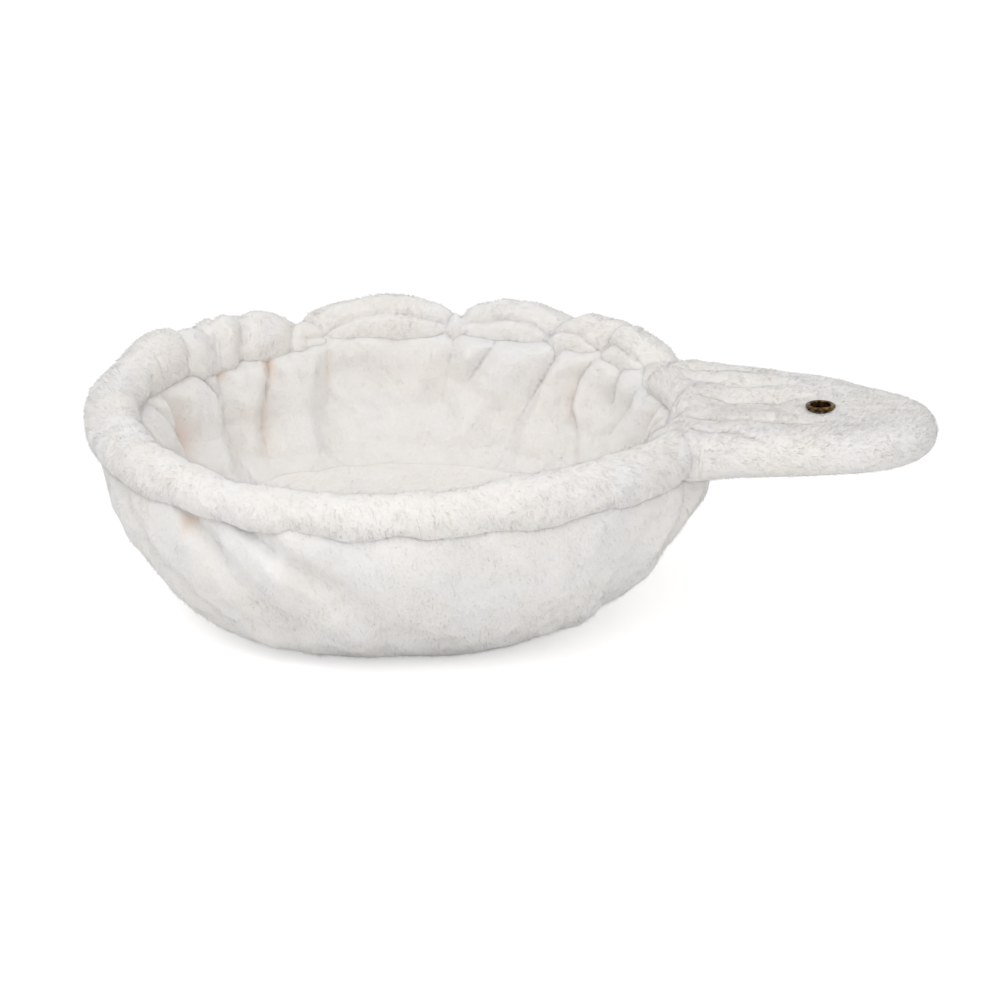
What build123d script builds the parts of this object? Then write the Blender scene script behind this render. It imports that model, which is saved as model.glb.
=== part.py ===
from build123d import *
from math import acos, asin, atan2, cos, degrees, radians, sin
import os

os.makedirs("parts", exist_ok=True)

# A plush cat tree hammock: a round bowl hung in a steel hoop, with a flat tongue that is bolted to a post.
# The origin is on the axis of the bolt hole, level with the tongue's underside. The bowl lies towards -X.

# Driving sizes, in millimetres
ring_radius = 138
ring_reach = 195
bar_diameter = 6
roll_radius = 12
bowl_overhang = 5
bowl_depth = 92
bowl_lean = 5
floor_depth = 60
floor_radius = 98
tongue_thickness = 20.6
tip_reach = 55.5
tip_radius = 44
root_half_width = 57
bolt_hole_diameter = 10

# Cloth, padding and board
plush = 3
rim_plush = 2.2
liner_plush = 3.5
board_thickness = 8
foam_thickness = 2.6
wadding_radius = 8.4
elastic_width = 8
elastic_thickness = 0.8
pad_thickness = 18
pad_margin = 24
base_hem = 4.8

# Folds
lobe_rise = 4
outer_fold = 1.6
outer_fold_twist = 4
pleat_depth = 8
gather_depth = 1.8
floor_crown = 4
edge_round = 8

# Clearances
soft_gap = 0.4
bar_gap = 0.8
hard_gap = 0.1
overrun = 5

# Bar legs and their fixings
leg_bend_radius = 14
plate_width = 22
plate_thickness = 0.9
screw_spacing = 14
screw_radius = 1.5
screw_head_radius = 3
screw_length = 6.4
board_inset = 9
foam_inset = 8.4
cavity_inset = 8

# Eyelet
eyelet_wall = 1
lip_overhang = 1
washer_thickness = 0.8
washer_radius = 9.5

# Legs and plates, as shares of the half width at the root and of the legs' straight run
leg_spread_share = 0.456
plate_centre_share = 0.4
plate_length_share = 0.42

ring_x = -ring_reach
ring_z = tongue_thickness / 2
bowl_radius = ring_radius + bowl_overhang
liner_radius = ring_radius - roll_radius
pad_radius = floor_radius - pad_margin
seam_z = ring_z - roll_radius - soft_gap
base_z = ring_z - bowl_depth
floor_z = ring_z - floor_depth
hole_radius = bolt_hole_diameter / 2
bar_radius = bar_diameter / 2
root_turn = degrees(asin(root_half_width / ring_radius))
tip_x = tip_reach - tip_radius
leg_spread = leg_spread_share * root_half_width

# Outer wall, from the rim seam to the base: share of the height, share of the bowl's radius
outer_wall_shares = ((0, 1), (0.2, 0.985), (0.38, 0.94), (0.6, 0.85), (0.81, 0.735), (0.94, 0.6), (1, 0.46))
outer_fold_count = 14
base_radius = outer_wall_shares[-1][1] * bowl_radius - base_hem

# Liner wall, from the rim seam to the floor: share of the height, share of the way in to the floor's radius
liner_wall_shares = ((0, 0), (0.34, 0.12), (0.7, 0.42), (1, 1))
pleat_strength_shares = (0.5, 1, 1, 0.5)

# Outline of a fold from one crease to the next: share of its width, share of its height
soft_fold_shares = ((0, 0), (0.25, 0.6), (0.5, 1), (0.75, 0.6))
fat_fold_shares = ((0, 0), (0.12, 0.58), (0.3, 0.92), (0.5, 1), (0.7, 0.92), (0.88, 0.58))

# Crown of the floor: share of its radius, share of its rise
floor_crown_shares = ((1, 0), (0.92, 0.5), (0.7, 0.85), (0.35, 1))

# Creases between the pleats, as shares of a half turn that starts at the tongue
back_crease_shares = (0.067, 0.178, 0.239, 0.3, 0.389, 0.439, 0.506, 0.589, 0.683, 0.733, 0.828, 0.883)
front_crease_shares = (0.994, 1.08, 1.18, 1.29, 1.4, 1.51, 1.62, 1.73, 1.83, 1.92)

# Lobes of the scrunched rim: start and end as shares of a half turn, and share of the rise
rim_lobe_shares = (
    (0.2, 0.29, 0.5),
    (0.29, 0.44, 1),
    (0.45, 0.61, 1),
    (0.625, 0.69, 0.6),
    (0.69, 0.75, 0.7),
    (0.75, 0.83, 0.5),
)
lobe_section_share = 0.03
lobe_section_least = 3
front_section_count = 17

# Gathers on the tongue, as shares of its half width at the root
gather_shares = (-0.82, -0.42, -0.12, 0.16, 0.46, 0.84)
gather_run_shares = (0, 0.3, 0.62, 1)
gather_strength_shares = (1, 1, 0.6, 0.05)

# Rounded edge of the tongue: share of its half thickness, share of the rounding
edge_round_shares = ((0, 0), (0.45, 0.08), (0.78, 0.38), (1, 1))

half_turn = 180
full_turn = 360
wall_sides = 28
roll_sides = 16
rim_sides = 8
bore_sides = 6
bar_sides = 8
screw_sides = 12


def around(radius, turn, centre_x=ring_x):
    return (centre_x + radius * cos(radians(turn)), radius * sin(radians(turn)))


# Walls through level outlines: each strip between two levels is folded along a diagonal into two flat facets

def shared_end(edge, following):
    following_ends = (following @ 0, following @ 1)
    return min((edge @ 0, edge @ 1), key=lambda end: min((end - other).length for other in following_ends))


def flat_facets(strip):
    edges = strip.outer_wire().order_edges()
    corners = [shared_end(edge, following) for edge, following in zip(edges, edges[1:] + edges[:1])]
    if len(corners) != 4:
        return [strip]
    first, second, third, fourth = corners
    return [Face(Wire.make_polygon([first, second, third])), Face(Wire.make_polygon([first, third, fourth]))]


def faceted_loft(levels):
    strips = loft(sections=levels, ruled=True, mode=Mode.PRIVATE).faces()
    return Solid(Shell([facet for strip in strips for facet in flat_facets(strip)]))


# Levels of the bowl

def lean_at(z):
    return ring_x - bowl_lean * ((ring_z - z) / bowl_depth) ** 2


def plain_level(radius, z, lean_z):
    with BuildSketch(Plane.XY.offset(z)) as level:
        with Locations((lean_at(lean_z), 0)):
            RegularPolygon(radius, wall_sides, major_radius=False)
    return level.sketch


def folded_level(crease_radius, crest_radius, z, turns, fold_shares):
    centre_x = lean_at(z)
    points = []
    for start, end in zip(turns, turns[1:] + [turns[0] + full_turn]):
        for width_share, height_share in fold_shares:
            radius = crease_radius + height_share * (crest_radius - crease_radius)
            points.append(around(radius, start + width_share * (end - start), centre_x))
    with BuildSketch(Plane.XY.offset(z)) as level:
        with BuildLine():
            Polyline(*points, close=True)
        make_face()
    return level.sketch


def outer_rows():
    return [(share * (base_z - seam_z) + seam_z, reach * bowl_radius) for share, reach in outer_wall_shares]


def liner_rows():
    drop = floor_z - liner_plush - seam_z
    narrowing = liner_radius - floor_radius
    return [(share * drop + seam_z, liner_radius - reach * narrowing) for share, reach in liner_wall_shares]


def cup_levels(rows, inset, lift):
    levels = [plain_level(rows[0][1] - inset, rows[0][0] + overrun, rows[0][0])]
    return levels + [plain_level(radius - inset, z + lift, z) for z, radius in rows]


outer_inset = plush + outer_fold
pleat_turns = [half_turn * share for share in back_crease_shares + front_crease_shares]

# Outer wall: a plush bag with slanting folds, open at the base for its round panel
with BuildPart() as bowl_outer:
    outer_levels = []
    for index, (z, radius) in enumerate(outer_rows()):
        twist = index * outer_fold_twist
        turns = [full_turn * fold / outer_fold_count + twist for fold in range(outer_fold_count)]
        outer_levels.append(folded_level(radius - outer_fold, radius, z, turns, soft_fold_shares))
    add(faceted_loft(outer_levels))
    add(faceted_loft(cup_levels(outer_rows(), outer_inset, plush)), mode=Mode.SUBTRACT)
    with BuildSketch(Plane.XY.offset(base_z)):
        with Locations((lean_at(base_z), 0)):
            Circle(base_radius)
    extrude(amount=plush + overrun, mode=Mode.SUBTRACT)
bowl_outer.part.label = "bowl_outer"

with BuildPart() as bowl_base:
    with BuildSketch(Plane.XY.offset(base_z)):
        with Locations((lean_at(base_z), 0)):
            Circle(base_radius - soft_gap)
    extrude(amount=plush)
bowl_base.part.label = "bowl_base"

liner_wall = pleat_depth / 2 + liner_plush

# Liner: an open wall in fat pleats whose creases run from the rim to the floor
with BuildPart() as bowl_liner:
    add(faceted_loft([plain_level(radius + liner_wall, z, z) for z, radius in liner_rows()]))
    pleat_levels = []
    for (z, radius), strength in zip(liner_rows(), pleat_strength_shares):
        depth = pleat_depth * strength
        crease_radius = radius + depth / 2
        pleat_levels.append(folded_level(crease_radius, radius - depth / 2, z, pleat_turns, fat_fold_shares))
    add(faceted_loft(pleat_levels), mode=Mode.SUBTRACT)
bowl_liner.part.label = "bowl_liner"

# Floor: a crowned round of plush that lies inside the foot of the liner
floor_edge = floor_radius - pleat_depth / 2 - soft_gap
with BuildPart() as liner_floor:
    floor_levels = [plain_level(floor_edge, floor_z - liner_plush, floor_z)]
    for reach, rise in floor_crown_shares:
        floor_levels.append(plain_level(reach * floor_edge, floor_z + rise * floor_crown, floor_z))
    add(faceted_loft(floor_levels))
liner_floor.part.label = "liner_floor"

pad_top = floor_z - liner_plush - soft_gap
with BuildPart() as floor_pad:
    with BuildSketch(Plane.XY.offset(pad_top - pad_thickness)):
        with Locations((lean_at(pad_top), 0)):
            Circle(pad_radius)
    extrude(amount=pad_thickness)
floor_pad.part.label = "floor_pad"

# Wadding: fills what is left between the outer wall, the liner and the pad
with BuildPart() as bowl_wadding:
    add(faceted_loft(cup_levels(outer_rows(), outer_inset + soft_gap, plush + soft_gap)))
    split(bisect_by=Plane.XY.offset(seam_z - soft_gap), keep=Keep.BOTTOM)
    wadding_inside = [(z, radius + liner_wall + soft_gap) for z, radius in liner_rows()]
    add(faceted_loft(cup_levels(wadding_inside, 0, 0)), mode=Mode.SUBTRACT)
    with BuildSketch(Plane.XY.offset(pad_top - pad_thickness - soft_gap)):
        with Locations((lean_at(pad_top), 0)):
            Circle(pad_radius + soft_gap)
    extrude(amount=pad_thickness + soft_gap + soft_gap + overrun, mode=Mode.SUBTRACT)
bowl_wadding.part.label = "bowl_wadding"


# Rim: sections round the hoop, one at each crease, shoulder and crest of a lobe, and evenly along the front

def rim_plane(turn):
    radial = Vector(cos(radians(turn)), sin(radians(turn)), 0)
    origin = Vector(ring_x, 0, ring_z) + radial * ring_radius
    return Plane(origin=origin, x_dir=radial, z_dir=Vector(sin(radians(turn)), -cos(radians(turn)), 0))


first_lobe_turn = half_turn * rim_lobe_shares[0][0]
last_lobe_turn = half_turn * rim_lobe_shares[-1][1]


def lobe_stations(start, end, strength):
    steps = max(lobe_section_least, round((end - start) / lobe_section_share))
    stations = []
    for step in range(steps):
        turn = half_turn * (start + step / steps * (end - start))
        stations.append((turn, sin(radians(half_turn * step / steps)) * strength))
    return stations


rim_stations = [(root_turn, 0), ((root_turn + first_lobe_turn) / 2, 0)]
for lobe in rim_lobe_shares:
    rim_stations += lobe_stations(*lobe)
for step in range(front_section_count + 1):
    front_run = full_turn - root_turn - last_lobe_turn
    rim_stations.append((last_lobe_turn + step / front_section_count * front_run, 0))
rim_turns = [turn for turn, swell in rim_stations]


def rim_round(turn, radius, rise):
    with BuildSketch(rim_plane(turn)) as section:
        with Locations((0, rise)):
            RegularPolygon(radius, roll_sides)
    return section.sketch


def rim_polygon(turn, apothem, sides=rim_sides):
    with BuildSketch(rim_plane(turn)) as section:
        RegularPolygon(apothem, sides, major_radius=False, rotation=half_turn / sides)
    return section.sketch


with BuildPart() as rim_sleeve:
    rises = [(turn, swell * lobe_rise) for turn, swell in rim_stations]
    add(faceted_loft([rim_round(turn, roll_radius + rise, rise) for turn, rise in rises]))
    sleeve_bore = roll_radius - rim_plush
    add(faceted_loft([rim_polygon(turn, sleeve_bore) for turn in rim_turns]), mode=Mode.SUBTRACT)
rim_sleeve.part.label = "rim_sleeve"

with BuildPart() as rim_wadding:
    add(faceted_loft([rim_polygon(turn, wadding_radius) for turn in rim_turns]))
    bar_bore = bar_radius + bar_gap
    add(faceted_loft([rim_polygon(turn, bar_bore, bore_sides) for turn in rim_turns]), mode=Mode.SUBTRACT)
rim_wadding.part.label = "rim_wadding"


def elastic_section(turn):
    with BuildSketch(rim_plane(turn)) as section:
        with Locations((wadding_radius + soft_gap / 2 + elastic_thickness / 2, 0)):
            Rectangle(elastic_thickness, elastic_width)
    return section.sketch


with BuildPart() as elastic_band:
    elastic_turns = [turn for turn in rim_turns if first_lobe_turn <= turn <= last_lobe_turn]
    add(faceted_loft([elastic_section(turn) for turn in elastic_turns]))
elastic_band.part.label = "elastic_band"

# Hoop: one bar, from the end of a leg, round the ring and back to the end of the other leg
bend_centre_reach = ring_radius + leg_bend_radius
bend_y = leg_spread + leg_bend_radius
bend_turn = degrees(asin(bend_y / bend_centre_reach))
bend_x = ring_x + bend_centre_reach * cos(radians(bend_turn))
quarter_turn = half_turn / 2
with BuildPart() as hoop_frame:
    with BuildLine(Plane.XY.offset(ring_z)):
        Line((tip_x, leg_spread), (bend_x, leg_spread))
        CenterArc((bend_x, bend_y), leg_bend_radius, -quarter_turn, bend_turn - quarter_turn)
        CenterArc((ring_x, 0), ring_radius, bend_turn, full_turn - 2 * bend_turn)
        CenterArc((bend_x, -bend_y), leg_bend_radius, half_turn - bend_turn, bend_turn - quarter_turn)
        Line((bend_x, -leg_spread), (tip_x, -leg_spread))
    with BuildSketch(Plane(origin=(tip_x, leg_spread, ring_z), z_dir=(-1, 0, 0))):
        RegularPolygon(bar_radius, bar_sides)
    sweep()
hoop_frame.part.label = "hoop_frame"


# Tongue outlines: the root follows the ring, the sides run straight to the round tip

def tongue_face(inset, z, root_gap=soft_gap):
    inner = ring_radius - roll_radius + inset
    outer = ring_radius + roll_radius - inset
    turn = root_turn - degrees((inset + root_gap) / ring_radius)
    radius = tip_radius - inset
    corner = around(outer, turn)
    reach = ((corner[0] - tip_x) ** 2 + corner[1] ** 2) ** 0.5
    tangent = atan2(corner[1], corner[0] - tip_x) - acos(radius / reach)
    touch = (tip_x + radius * cos(tangent), radius * sin(tangent))
    with BuildSketch(Plane.XY.offset(z)) as face:
        with BuildLine():
            ThreePointArc(around(inner, -turn), around(inner, 0), around(inner, turn))
            Line(around(inner, turn), corner)
            Line(corner, touch)
            ThreePointArc(touch, (tip_x + radius, 0), (touch[0], -touch[1]))
            Line((touch[0], -touch[1]), (corner[0], -corner[1]))
            Line((corner[0], -corner[1]), around(inner, -turn))
        make_face()
    return face.sketch


def half_cover(side):
    return [
        tongue_face(edge_round * inset, ring_z + side * (rise * (ring_z - hard_gap) + hard_gap))
        for rise, inset in edge_round_shares
    ]


def gather_section(run, strength):
    root_x = around(ring_radius - roll_radius, root_turn)[0] - overrun
    x = root_x + run * (tip_reach + overrun - root_x)
    half = root_half_width + overrun + overrun
    edges = [-half] + [share * root_half_width for share in gather_shares] + [half]
    low = tongue_thickness - gather_depth * strength
    points = [(half, low), (half, 0), (-half, 0)]
    for start, end in zip(edges, edges[1:]):
        for width_share, height_share in soft_fold_shares:
            points.append((start + width_share * (end - start), low + height_share * (tongue_thickness - low)))
    with BuildSketch(Plane(origin=(x, 0, 0), x_dir=(0, 1, 0), z_dir=(1, 0, 0))) as section:
        with BuildLine():
            Polyline(*points, close=True)
        make_face()
    return section.sketch


# Eyelet and washer, from the underside up: the foot, the washer sunk in the plush, the tube and the lip
washer_bottom = eyelet_wall + hard_gap
washer_recess = washer_bottom + washer_thickness + hard_gap
lip_bottom = tongue_thickness + hard_gap
tube_radius = hole_radius + eyelet_wall
lip_radius = tube_radius + lip_overhang
hole_cut_radius = tube_radius + hard_gap

cover_inner = board_thickness / 2 + soft_gap / 2 + foam_thickness + soft_gap / 2
bar_passes = [rim_plane(side * (root_turn - degrees(cavity_inset / 2 / ring_radius))) for side in (1, -1)]
with BuildPart() as tongue_cover_top:
    loft(sections=half_cover(1), ruled=True)
    gather_steps = zip(gather_run_shares, gather_strength_shares)
    loft(sections=[gather_section(run, strength) for run, strength in gather_steps], ruled=True, mode=Mode.INTERSECT)
    extrude(tongue_face(cavity_inset, ring_z), amount=cover_inner, mode=Mode.SUBTRACT)
    with BuildSketch(Plane.XY):
        Circle(hole_cut_radius)
    extrude(amount=tongue_thickness + overrun, mode=Mode.SUBTRACT)
    with BuildSketch(*bar_passes):
        Circle(bar_radius + bar_gap)
    extrude(amount=cavity_inset, both=True, mode=Mode.SUBTRACT)
tongue_cover_top.part.label = "tongue_cover_top"

with BuildPart() as tongue_cover_bottom:
    loft(sections=half_cover(-1), ruled=True)
    extrude(tongue_face(cavity_inset, ring_z), amount=-cover_inner, mode=Mode.SUBTRACT)
    with BuildSketch(Plane.XY):
        Circle(hole_cut_radius)
    extrude(amount=tongue_thickness, mode=Mode.SUBTRACT)
    with BuildSketch(Plane.XY):
        Circle(washer_radius + hard_gap)
    extrude(amount=washer_recess, mode=Mode.SUBTRACT)
    with BuildSketch(*bar_passes):
        Circle(bar_radius + bar_gap)
    extrude(amount=cavity_inset, both=True, mode=Mode.SUBTRACT)
tongue_cover_bottom.part.label = "tongue_cover_bottom"

# Foam above and below the board
with BuildPart() as tongue_foam_top:
    extrude(tongue_face(foam_inset, ring_z + board_thickness / 2 + soft_gap / 2), amount=foam_thickness)
    with BuildSketch(Plane.XY):
        Circle(hole_cut_radius)
    extrude(amount=tongue_thickness + overrun, mode=Mode.SUBTRACT)
tongue_foam_top.part.label = "tongue_foam_top"

with BuildPart() as tongue_foam_bottom:
    extrude(tongue_face(foam_inset, ring_z - board_thickness / 2 - soft_gap / 2), amount=-foam_thickness)
    with BuildSketch(Plane.XY):
        Circle(hole_cut_radius)
    extrude(amount=tongue_thickness + overrun, mode=Mode.SUBTRACT)
tongue_foam_bottom.part.label = "tongue_foam_bottom"

# Board: a plywood paddle whose slots take the legs from below, with plates let in over the slots
board_bottom = ring_z - board_thickness / 2
board_root = bend_x + bar_radius
leg_run = tip_x - board_root
plate_length = plate_length_share * leg_run
plate_x = board_root + plate_centre_share * leg_run
plate_spots = [(plate_x, leg_spread), (plate_x, -leg_spread)]
screw_spots = [(x, y + side * screw_spacing / 2) for x, y in plate_spots for side in (-1, 1)]


def screw_level(radius, z):
    with BuildSketch(Plane.XY.offset(z)) as level:
        RegularPolygon(radius, screw_sides)
    return level.sketch


def screw_body(grow):
    head = screw_head_radius + grow
    shank = screw_radius + grow
    profile = ((head, 0), (shank, head - shank), (shank, screw_length + grow))
    return faceted_loft([screw_level(radius, z) for radius, z in profile])


with BuildPart() as tongue_board:
    extrude(tongue_face(board_inset, board_bottom), amount=board_thickness)
    with BuildSketch(Plane.XY.offset(board_bottom)):
        with Locations((board_root, 0)):
            Rectangle(ring_reach, ring_reach, align=(Align.MAX, Align.CENTER))
    extrude(amount=board_thickness, mode=Mode.SUBTRACT)
    with BuildSketch(Plane.XY.offset(board_bottom)):
        with Locations((board_root, leg_spread), (board_root, -leg_spread)):
            Rectangle(leg_run + hard_gap, bar_diameter + 2 * hard_gap, align=(Align.MIN, Align.CENTER))
    extrude(amount=board_thickness / 2 + bar_radius + hard_gap, mode=Mode.SUBTRACT)
    with BuildSketch(Plane.XY.offset(board_bottom)):
        with Locations(*plate_spots):
            Rectangle(plate_length + 2 * hard_gap, plate_width + 2 * hard_gap)
    extrude(amount=plate_thickness, mode=Mode.SUBTRACT)
    with BuildSketch(Plane.XY.offset(board_bottom)):
        Circle(hole_cut_radius)
    extrude(amount=board_thickness, mode=Mode.SUBTRACT)
    with Locations(*[(x, y, board_bottom) for x, y in screw_spots]):
        add(screw_body(hard_gap), mode=Mode.SUBTRACT)
tongue_board.part.label = "tongue_board"

with BuildPart() as clamp_plates:
    with BuildSketch(Plane.XY.offset(board_bottom)):
        with Locations(*plate_spots):
            Rectangle(plate_length, plate_width)
    extrude(amount=plate_thickness)
    with Locations(*[(x, y, board_bottom) for x, y in screw_spots]):
        add(screw_body(hard_gap), mode=Mode.SUBTRACT)
clamp_plates.part.label = "clamp_plates"

with BuildPart() as clamp_screws:
    with Locations(*[(x, y, board_bottom) for x, y in screw_spots]):
        add(screw_body(0))
clamp_screws.part.label = "clamp_screws"

# Eyelet: a tube through the tongue with a rolled lip on the plush, closed over a washer underneath
with BuildPart() as bolt_eyelet:
    with BuildSketch(Plane.XZ):
        with BuildLine():
            Polyline(
                (hole_radius, 0),
                (lip_radius, 0),
                (lip_radius, eyelet_wall),
                (tube_radius, eyelet_wall),
                (tube_radius, lip_bottom),
                (lip_radius, lip_bottom),
                (lip_radius, lip_bottom + eyelet_wall / 2),
                (tube_radius, lip_bottom + eyelet_wall),
                (hole_radius, lip_bottom + eyelet_wall / 2),
                close=True,
            )
        make_face()
    revolve(axis=Axis.Z)
bolt_eyelet.part.label = "bolt_eyelet"

with BuildPart() as eyelet_washer:
    with BuildSketch(Plane.XY.offset(washer_bottom)):
        Circle(washer_radius)
        Circle(hole_cut_radius, mode=Mode.SUBTRACT)
    extrude(amount=washer_thickness)
eyelet_washer.part.label = "eyelet_washer"

pieces = [
    hoop_frame,
    tongue_board,
    clamp_plates,
    clamp_screws,
    bolt_eyelet,
    eyelet_washer,
    tongue_foam_top,
    tongue_foam_bottom,
    tongue_cover_top,
    tongue_cover_bottom,
    rim_sleeve,
    rim_wadding,
    elastic_band,
    bowl_outer,
    bowl_base,
    bowl_wadding,
    bowl_liner,
    liner_floor,
    floor_pad,
]
for piece in pieces:
    export_step(piece.part, f"parts/{piece.part.label}.step")
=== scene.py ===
import math

import bpy
import numpy as np
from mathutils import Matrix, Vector


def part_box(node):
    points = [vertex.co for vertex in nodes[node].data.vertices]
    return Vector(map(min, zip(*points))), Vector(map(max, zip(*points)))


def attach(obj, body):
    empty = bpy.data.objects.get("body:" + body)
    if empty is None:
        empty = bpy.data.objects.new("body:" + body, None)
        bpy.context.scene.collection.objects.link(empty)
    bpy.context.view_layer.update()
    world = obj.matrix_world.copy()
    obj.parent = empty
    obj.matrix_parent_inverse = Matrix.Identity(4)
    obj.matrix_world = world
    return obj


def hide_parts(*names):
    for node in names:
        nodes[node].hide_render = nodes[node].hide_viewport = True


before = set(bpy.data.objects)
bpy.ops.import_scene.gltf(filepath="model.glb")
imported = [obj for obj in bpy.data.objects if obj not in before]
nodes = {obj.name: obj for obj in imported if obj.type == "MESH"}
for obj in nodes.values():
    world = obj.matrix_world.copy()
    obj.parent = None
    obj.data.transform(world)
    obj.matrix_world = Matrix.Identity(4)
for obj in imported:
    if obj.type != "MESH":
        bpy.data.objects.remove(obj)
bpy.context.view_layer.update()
print("frame loaded")

# Everything below is in millimetres until it becomes a mesh
mm = 0.001
hoopLow, hoopHigh = [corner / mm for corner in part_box("hoop_frame")]
baseLow, baseHigh = [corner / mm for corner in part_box("bowl_base")]
floorLow, floorHigh = [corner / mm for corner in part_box("liner_floor")]
tipX = (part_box("tongue_cover_top")[1] / mm).x
ringZ = (hoopLow.z + hoopHigh.z) / 2
ringRadius = hoopHigh.y - (hoopHigh.z - hoopLow.z) / 2
ringX = hoopLow.x + hoopHigh.y
baseZ = baseLow.z
bowlDepth = ringZ - baseZ
baseX = (baseLow.x + baseHigh.x) / 2
baseLean = ringX - baseX


# Numbers and noise

def smoothRamp(value, low, high):
    share = np.clip((value - low) / (high - low), 0, 1)
    return share * share * (3 - 2 * share)


def plateau(value, rise, full, fade, end):
    # 1 from full to fade, eased in before and out after
    return smoothRamp(value, rise, full) * (1 - smoothRamp(value, fade, end))


def bump(value, middle, reach):
    return np.cos(np.clip((value - middle) / reach, -1, 1) * math.pi / 2) ** 2


def lumps(points, size, seed, count=26):
    # soft uneven noise about as large as size, from waves in random directions
    rng = np.random.default_rng(seed)
    aim = rng.normal(size=(count, 3))
    aim /= np.linalg.norm(aim, axis=1)[:, None]
    pitch = 2 * math.pi / (size * rng.uniform(0.7, 1.5, count))
    phase = rng.uniform(0, 2 * math.pi, count)
    flat = points.reshape(-1, 3)
    total = np.zeros(len(flat))
    for one in range(count):
        total += np.cos(flat @ (aim[one] * pitch[one]) + phase[one])
    return (total / math.sqrt(count / 2)).reshape(points.shape[:-1])


def unevenness(points, layers):
    # noise in layers, each with its height, size and seed
    return sum(height * lumps(points, size, seed) for height, size, seed in layers)


def soften(line, rounds):
    # rounds the corners of a row of values and keeps its ends
    for _ in range(rounds):
        line[1:-1] = (line[:-2] + 2 * line[1:-1] + line[2:]) / 4


def unit(vectors):
    return vectors / np.maximum(np.linalg.norm(vectors, axis=-1, keepdims=True), 1e-9)


def facing(normals, aim):
    # the same normals, all turned round where they point against the aim
    return -normals if (normals * aim).sum() < 0 else normals


def quarterRound(share):
    # 1 at 0, falling to 0 at 1 as a quarter circle does
    return np.sqrt(np.clip(1 - np.clip(share, 0, 1) ** 2, 0, 1))


def ringPoints(middle, radius, aim, height):
    # points round an upright axis that stands at middle in x
    return np.stack([middle + radius * np.cos(aim), radius * np.sin(aim), height + 0 * aim], axis=-1)


def discGrid(look):
    # rings from a disc's edge to just short of its middle: share of the radius, and turn
    return np.meshgrid(np.linspace(1, 0.0005, look["rows"]),
                       np.linspace(0, 2 * math.pi, look["columns"], endpoint=False), indexing="ij")


def gridNormals(points, wrap):
    # rows run down the first axis, columns along the second
    down = np.gradient(points, axis=0)
    if wrap:
        across = (np.roll(points, -1, axis=1) - np.roll(points, 1, axis=1)) / 2
    else:
        across = np.gradient(points, axis=1)
    return unit(np.cross(across, down))


def foldHeight(turn, depth, radius, creases, soft, fade=5):
    # 1 on the crest of a fold and 0 in its crease, which widens downwards and fades out past its ends
    height = np.ones_like(turn)
    widening = 0.75 + np.clip(depth, 0, 60) / 80
    for line, strength, before, after in creases:
        turns = [point[0] for point in line]
        depths = [point[1] for point in line]
        there = np.interp(depth, depths, turns)
        reach = plateau(depth, depths[0] - fade, depths[0], depths[-1], depths[-1] + 2.5 * fade)
        gap = np.radians((turn - there + 180) % 360 - 180) * radius
        wide = np.where(gap < 0, before, after) * widening
        near = np.clip(1 - np.abs(gap) / wide, 0, 1)
        drop = (1 - soft) * (1 - np.sqrt(1 - near ** 2)) + soft * near ** 2 * (3 - 2 * near)
        height *= 1 - strength * reach * drop
    return height


def paintedWarmLight(turn, depth, spots):
    # places in the creases where warm light that comes through the cloth is painted into its colour: turn, depth, their
    # reach in each, and strength
    warm = np.zeros_like(turn)
    for atTurn, atDepth, wide, deep, strength in spots:
        gap = (turn - atTurn + 180) % 360 - 180
        warm = np.maximum(warm, strength * np.exp(-(gap / wide) ** 2 - ((depth - atDepth) / deep) ** 2))
    return warm


# Meshes

def meshObject(name, verts, faces, values=None):
    verts = np.asarray(verts, dtype=np.float64).reshape(-1, 3)
    faces = np.asarray(faces, dtype=np.int32)
    sides = faces.shape[1]
    mesh = bpy.data.meshes.new(name)
    mesh.vertices.add(len(verts))
    mesh.vertices.foreach_set("co", (verts * mm).ravel().astype(np.float32))
    mesh.loops.add(faces.size)
    mesh.loops.foreach_set("vertex_index", faces.ravel())
    mesh.polygons.add(len(faces))
    mesh.polygons.foreach_set("loop_start", np.arange(0, faces.size, sides, dtype=np.int32))
    mesh.polygons.foreach_set("loop_total", np.full(len(faces), sides, dtype=np.int32))
    mesh.update(calc_edges=True)
    mesh.polygons.foreach_set("use_smooth", np.full(len(faces), True))
    for label, numbers in (values or {}).items():
        layer = mesh.attributes.new(label, "FLOAT", "POINT")
        layer.data.foreach_set("value", np.asarray(numbers, dtype=np.float32).ravel())
    obj = bpy.data.objects.new(name, mesh)
    bpy.context.scene.collection.objects.link(obj)
    return obj


def gridQuads(rows, columns, wrapRows, wrapColumns):
    down = np.arange(rows if wrapRows else rows - 1)
    across = np.arange(columns if wrapColumns else columns - 1)
    a, b = np.meshgrid(down, across, indexing="ij")
    nextA = (a + 1) % rows
    nextB = (b + 1) % columns
    corners = (a * columns + b, nextA * columns + b, nextA * columns + nextB, a * columns + nextB)
    return np.stack([corner.ravel() for corner in corners], axis=1)


def marks(shape, warm=0.0, tip=0.3):
    # what the plush reads at each point: how near it is to the tips of the pile, away from the painted shade at the
    # roots, and how much painted warm light it has
    return {"tip": np.full(shape, tip), "warm": np.zeros(shape) + warm}


def tidyMesh(obj, merge=0.01):
    # merges the doubled poles and turns every face outwards
    bpy.ops.object.select_all(action="DESELECT")
    bpy.context.view_layer.objects.active = obj
    obj.select_set(True)
    bpy.ops.object.mode_set(mode="EDIT")
    bpy.ops.mesh.select_all(action="SELECT")
    bpy.ops.mesh.remove_doubles(threshold=merge * mm)
    bpy.ops.mesh.normals_make_consistent(inside=False)
    bpy.ops.object.mode_set(mode="OBJECT")
    obj.select_set(False)


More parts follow.
